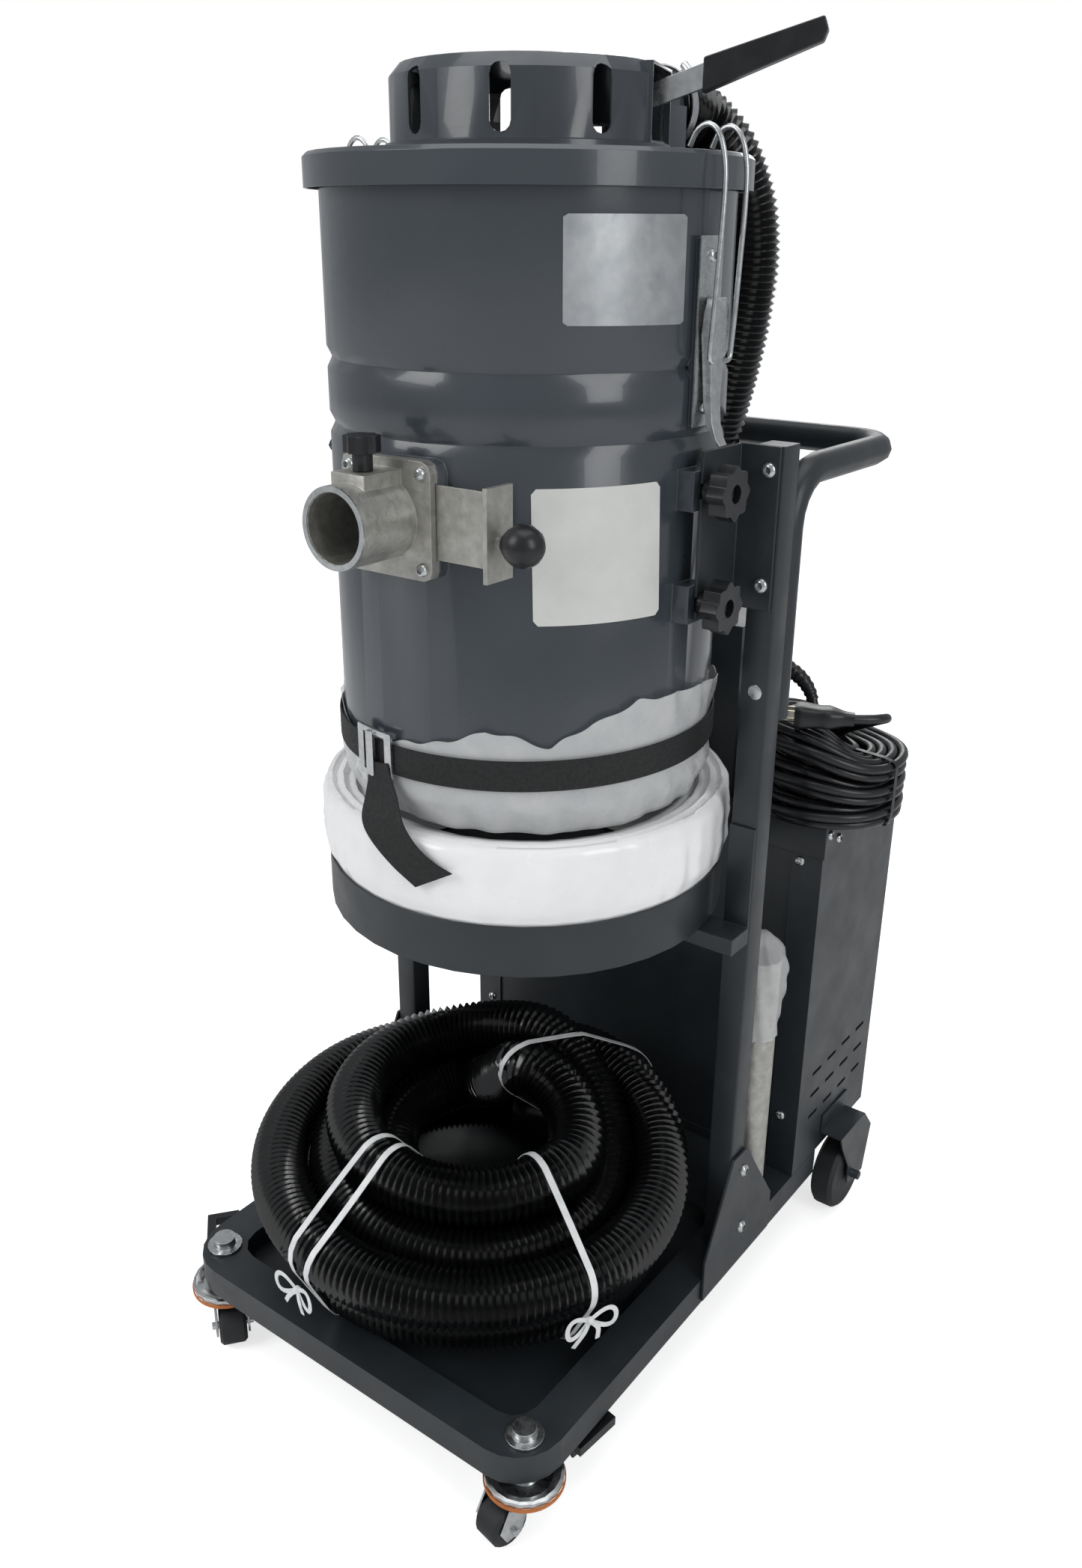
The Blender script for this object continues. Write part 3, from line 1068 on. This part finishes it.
def build_caster(side, sign):
    """A front caster: the bolted bearing cup, the swivelling fork and the wheel."""
    place = (sign * CASTER_X, CASTER_Y, 0)
    top = DECK_TOP + GAP
    mesh = bmesh.new()
    add_turned(mesh, [(0.0, 0.0455), (0.029, 0.0455), (0.034, 0.049), (0.034, 0.0535), (0.031, 0.0545),
                      (0.024, 0.0500), (0.013, 0.0500), (0.012, 0.0560), (0.012, DECK_TOP - SHEET - GAP),
                      (0.0062, DECK_TOP - SHEET - GAP), (0.0062, top), (0.0165, top), (0.0165, top + 0.0025),
                      (0.0105, top + 0.0026), (0.0105, top + 0.0105), (0.0, top + 0.0105)], 18, upright(place))
    finish(f"caster_cup_{side}", mesh, zinc())

    angle = CASTER_ANGLES[side]
    frame = upright(place, angle)
    mesh = bmesh.new()
    add_turned(mesh, [(0.0, 0.0422), (0.030, 0.0422), (0.030, 0.0452), (0.0, 0.0452)], 18, upright(place))
    fork = finish(f"caster_fork_{side}", mesh, zinc(), place)
    mesh = bmesh.new()
    add_prism(mesh, [(-0.055, -0.006), (-0.015, -0.006), (-0.015, 0.006), (-0.055, 0.006)], 0.0385, 0.0440, frame)
    join(fork, tool(f"fork_lug_{side}", mesh))
    inner = CASTER_WIDTH / 2 + 0.0012
    cheek = [(-0.008, 0.0430), (0.012, 0.030), (0.018, 0.012), (0.034, 0.012), (0.040, 0.024), (0.030, 0.0430)]
    stand = frame @ Matrix.Rotation(math.pi / 2, 4, "X")
    for name, way in (("near", 1), ("far", -1)):
        mesh = bmesh.new()
        low, high = sorted((way * inner, way * (inner + SHEET)))
        add_prism(mesh, cheek, low, high, stand)
        join(fork, tool(f"fork_cheek_{side}_{name}", mesh))
    axle_end = inner + 0.0055
    axle = Matrix.Translation((0, 0, 0))
    start = frame @ Vector((CASTER_TRAIL, -axle_end, CASTER_WHEEL))
    end = frame @ Vector((CASTER_TRAIL, axle_end, CASTER_WHEEL))
    mesh = bmesh.new()
    add_cylinder(mesh, 0.0035, axle @ start, axle @ end, 10)
    join(fork, tool(f"fork_axle_{side}", mesh))

    hub = frame @ Vector((CASTER_TRAIL, 0, CASTER_WHEEL))
    turned = Matrix.Translation(hub) @ Matrix.Rotation(angle, 4, "Z") @ Matrix.Rotation(math.pi / 2, 4, "X")
    half = CASTER_WIDTH / 2
    mesh = bmesh.new()
    add_turned(mesh, [(0.0039, -half), (CASTER_WHEEL - 0.003, -half), (CASTER_WHEEL, -half + 0.003),
                      (CASTER_WHEEL, half - 0.003), (CASTER_WHEEL - 0.003, half), (0.0039, half)], 20, turned)
    finish(f"caster_wheel_{side}", mesh, black_rubber(), tuple(hub))

    build_pedal(side, frame)


def build_pedal(side, frame):
    """The caster's brake: a plastic loop that tips down on the fork's lug, opposite the wheel."""
    mesh = bmesh.new()
    add_prism(mesh, [(-0.093, -0.016), (-0.047, -0.019), (-0.047, 0.019), (-0.093, 0.016)], 0.0468, 0.0560, frame)
    pivot = frame @ Vector((-0.050, 0, PEDAL_PIVOT_Z))
    pedal = finish(f"caster_pedal_{side}", mesh, black_plastic(), tuple(pivot))
    mesh = bmesh.new()
    add_prism(mesh, [(-0.085, -0.008), (-0.064, -0.009), (-0.064, 0.009), (-0.085, 0.008)], 0.03, 0.07, frame)
    cut(pedal, tool(f"pedal_window_{side}", mesh))
    for name, way in (("near", -1), ("far", 1)):
        low, high = sorted((way * 0.0066, way * 0.0096))
        mesh = bmesh.new()
        add_prism(mesh, [(-0.0540, low), (-0.0475, low), (-0.0475, high), (-0.0540, high)], 0.0370, 0.0480, frame)
        join(pedal, tool(f"pedal_ear_{side}_{name}", mesh))


PEDAL_PIVOT_Z = 0.0412


def build_rear_wheel(side, sign):
    """A fixed rear wheel and the folded bracket that carries its axle outside the box."""
    inner = sign * (REAR_WHEEL_X - REAR_WIDTH / 2)
    outer = sign * (REAR_WHEEL_X + REAR_WIDTH / 2)
    plate = REAR_WHEEL_X + REAR_WIDTH / 2 + 0.0030
    wall = DECK_WIDTH / 2 + GAP
    top = DECK_TOP + 0.0225
    y = REAR_AXLE_Y
    mesh = bmesh.new()
    outline = [(y - 0.040, top - 0.003), (y + 0.020, top - 0.003), (y + 0.042, top - 0.030), (y + 0.030, 0.030),
               (y + 0.006, 0.030), (y - 0.010, 0.036), (y - 0.012, 0.060), (y - 0.034, 0.096)]
    low, high = sorted((sign * plate, sign * (plate + SHEET)))
    add_prism(mesh, outline, low, high, along_x())
    bracket = finish(f"rear_bracket_{side}", mesh, texture_paint())
    mesh = bmesh.new()
    low, high = sorted((sign * wall, sign * (plate + SHEET)))
    add_box(mesh, (low, y - 0.040, top - SHEET - 0.003), (high, y + 0.020, top - 0.003))
    join(bracket, tool(f"rear_shelf_{side}", mesh))
    mesh = bmesh.new()
    low, high = sorted((sign * wall, sign * (wall + SHEET)))
    add_box(mesh, (low, y - 0.040, top - SHEET - 0.003), (high, y + 0.020, top + 0.018))
    join(bracket, tool(f"rear_flange_{side}", mesh))
    mesh = bmesh.new()
    add_cylinder(mesh, 0.005, (sign * (REAR_WHEEL_X - REAR_WIDTH / 2 - 0.001), y, REAR_WHEEL),
                 (sign * (plate + 0.011), y, REAR_WHEEL), 10)
    join(bracket, tool(f"rear_axle_{side}", mesh))

    low, high = sorted((inner, outer))
    mesh = bmesh.new()
    add_turned(mesh, [(0.0054, low), (REAR_WHEEL - 0.004, low), (REAR_WHEEL, low + 0.004), (REAR_WHEEL, high - 0.004),
                      (REAR_WHEEL - 0.004, high), (0.0054, high)], 28, along_x((0, y, REAR_WHEEL)))
    finish(f"rear_wheel_{side}", mesh, black_rubber(), (sign * REAR_WHEEL_X, y, REAR_WHEEL))


def build_stowed():
    """The suction hose coiled on the tray, and the wand that stands behind the right post."""
    base = DECK_TOP + GAP
    crown = base + COIL_HEIGHT
    mesh = bmesh.new()
    add_turned(mesh, [(COIL_INNER, base + 0.020), (COIL_INNER + 0.020, base), (COIL_OUTER - 0.020, base),
                      (COIL_OUTER, base + 0.020), (COIL_OUTER, crown - 0.090), (COIL_OUTER - 0.030, crown),
                      (COIL_INNER + 0.020, crown), (COIL_INNER, crown - 0.020)], 32, upright((*COIL_CENTRE, 0)))
    finish("suction_hose", mesh, hose_plastic())

    mesh = bmesh.new()
    wall = 0.0015
    add_turned(mesh, [(WAND_RADIUS - wall, base), (WAND_RADIUS, base), (WAND_RADIUS, base + WAND_LENGTH),
                      (WAND_RADIUS - wall, base + WAND_LENGTH)], 20, upright((POST_X - 0.0085, 0.072, 0)))
    finish("wand", mesh, casting())


def build_machine():
    clear_scene()
    carriage = bpy.data.objects.new("height_carriage", None)
    bpy.context.scene.collection.objects.link(carriage)
    build_deck()
    for side, sign in SIDES.items():
        build_post(side, sign)
        build_gusset(side, sign)
        build_bracket(side, sign, carriage)
        for index, height in enumerate(KNOB_HEIGHTS):
            build_bracket_knob(side, sign, index, height, carriage)
        build_latch(side, sign, carriage)
        build_caster(side, sign)
        build_rear_wheel(side, sign)
    build_tank(carriage)
    build_filter(carriage)
    build_gasket(carriage)
    build_lid(carriage)
    build_cover(carriage)
    build_lever(carriage)
    build_flap(carriage)
    build_port(carriage)
    build_gate(carriage)
    build_pan(carriage)
    build_bags(carriage)
    build_motor_box()
    build_head()
    build_motor()
    build_cable()
    build_lid_hose()
    build_handle()
    build_stowed()
    middle = bpy.data.objects.new("machine", None)
    bpy.context.scene.collection.objects.link(middle)
    for item in bpy.data.objects:
        if item.parent is None and item is not middle:
            item.parent = middle
    middle.location = (FRAME_SHIFT[0], FRAME_SHIFT[1], 0.0)


build_machine()
